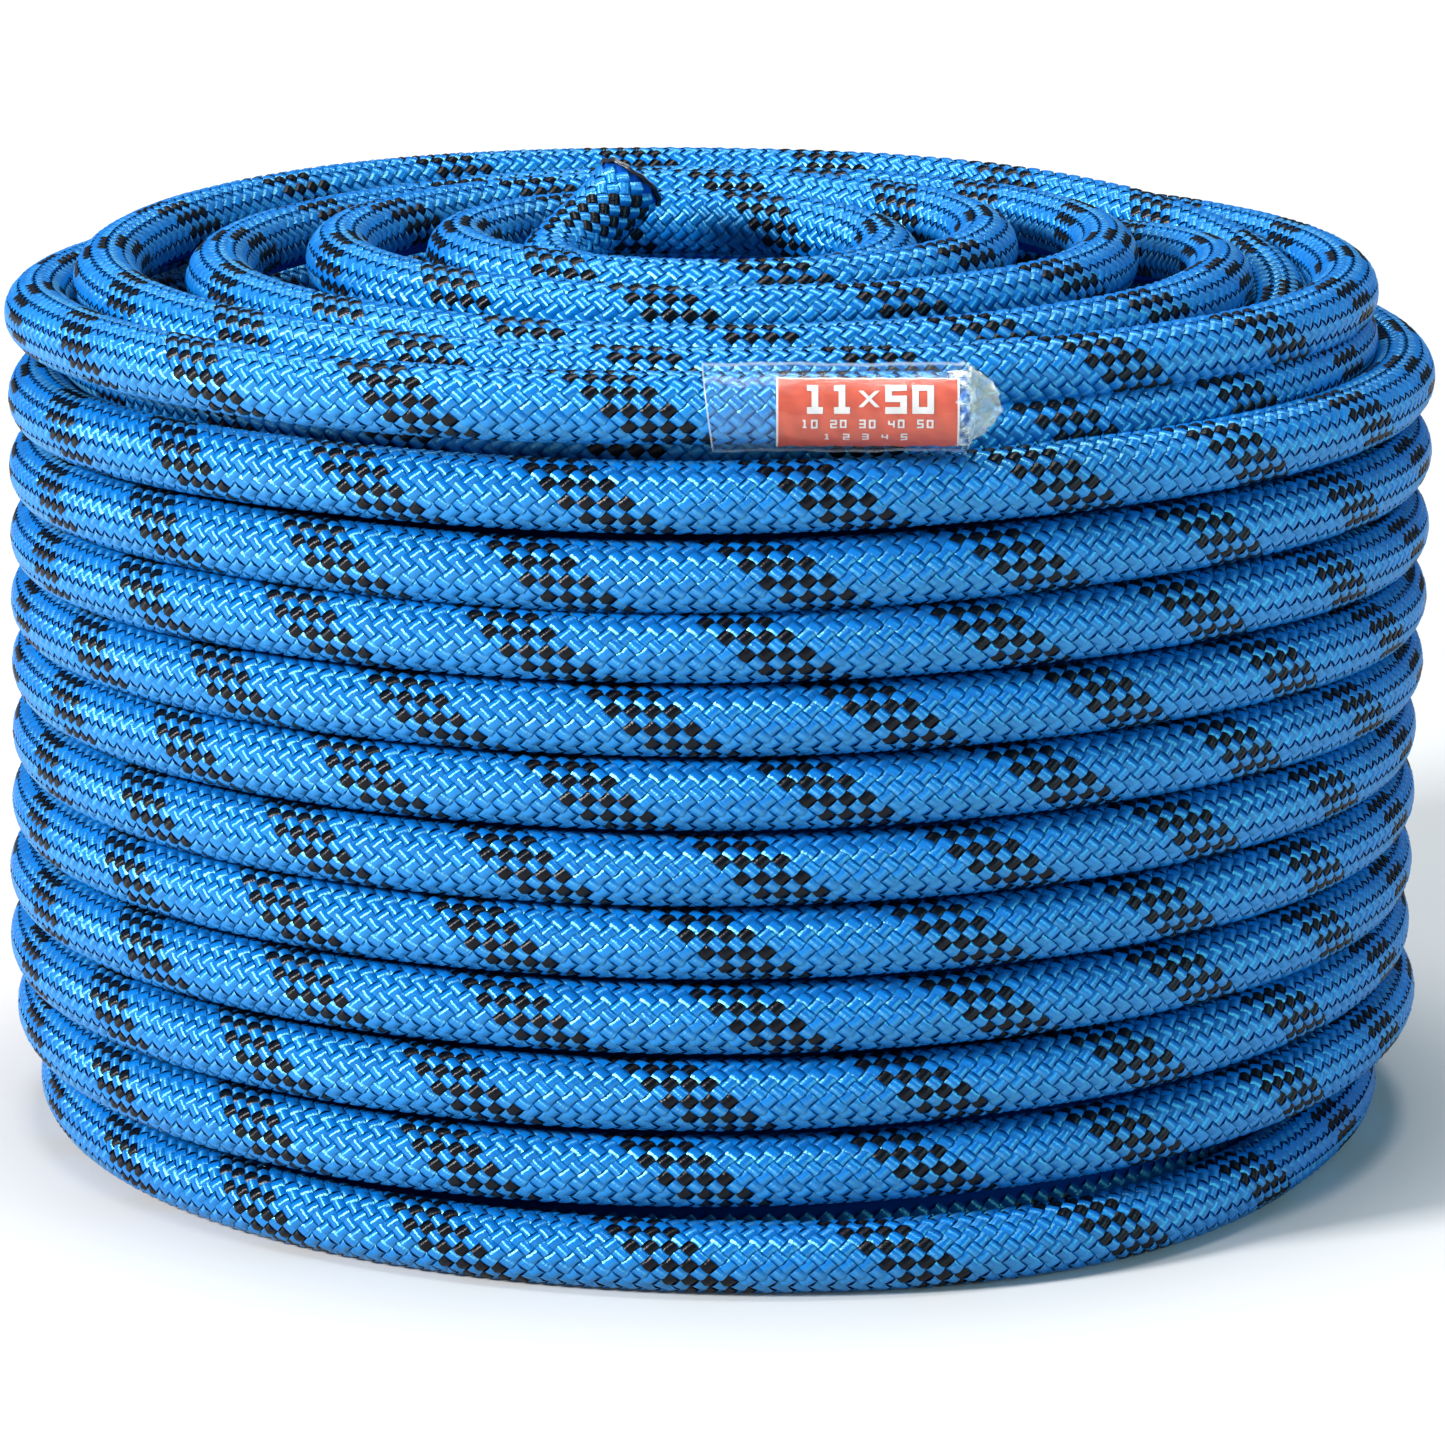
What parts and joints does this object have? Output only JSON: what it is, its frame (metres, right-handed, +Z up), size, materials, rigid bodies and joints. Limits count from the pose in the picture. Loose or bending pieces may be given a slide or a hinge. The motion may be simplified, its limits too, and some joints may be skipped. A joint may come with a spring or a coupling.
{
  "type": "dynamic climbing rope",
  "caption": "Braided dynamic climbing rope packed as a round wound coil, with a labelled end in a clear sleeve at the front and a melted tail rising from the middle.",
  "frame": {"origin": "middle of the underside, on the surface that the coil stands on", "axes": "+Z up along the coil's axis; the labelled end lies at the front, -Y, and points to +X"},
  "size_m": [0.231, 0.2315, 0.1555],
  "materials": {
    "sheath": "glossy braided polyamide yarn, blue with a black fleck",
    "sheath_in_shade": "the same braided yarn, in the shade of the outer turns",
    "core_yarn": "undyed twisted polyamide yarn",
    "id_tape": "thin film, unprinted",
    "melted_undyed": "melted and frayed, pale and milky",
    "melted_dark": "fused, dark and slightly glossy",
    "label_paper": "coated paper, satin",
    "clear_film": "clear shrunk film"
  },
  "bodies": {
    "root": {"outer_turns": "sheath", "inner_turns": "sheath_in_shade", "label_turns": "sheath", "top_turns": "sheath", "label_end_sheath": "sheath", "label_end_id_tape": "id_tape", "label_end_melted_tip": "melted_undyed", "paper_label": "label_paper", "clear_sleeve": "clear_film", "label_end_core_strand_01": "core_yarn", "label_end_core_strand_02": "core_yarn", "label_end_core_strand_03": "core_yarn", "label_end_core_strand_04": "core_yarn", "label_end_core_strand_05": "core_yarn", "label_end_core_strand_06": "core_yarn", "label_end_core_strand_07": "core_yarn", "label_end_core_strand_08": "core_yarn", "label_end_core_strand_09": "core_yarn", "label_end_core_strand_10": "core_yarn", "label_end_core_strand_11": "core_yarn", "label_end_core_strand_12": "core_yarn", "tail_sheath": "sheath", "tail_id_tape": "id_tape", "tail_melted_rim": "melted_dark", "tail_core_strand_01": "core_yarn", "tail_core_strand_02": "core_yarn", "tail_core_strand_03": "core_yarn", "tail_core_strand_04": "core_yarn", "tail_core_strand_05": "core_yarn", "tail_core_strand_06": "core_yarn", "tail_core_strand_07": "core_yarn", "tail_core_strand_08": "core_yarn", "tail_core_strand_09": "core_yarn", "tail_core_strand_10": "core_yarn", "tail_core_strand_11": "core_yarn", "tail_core_strand_12": "core_yarn"}
  },
  "joints": []
}
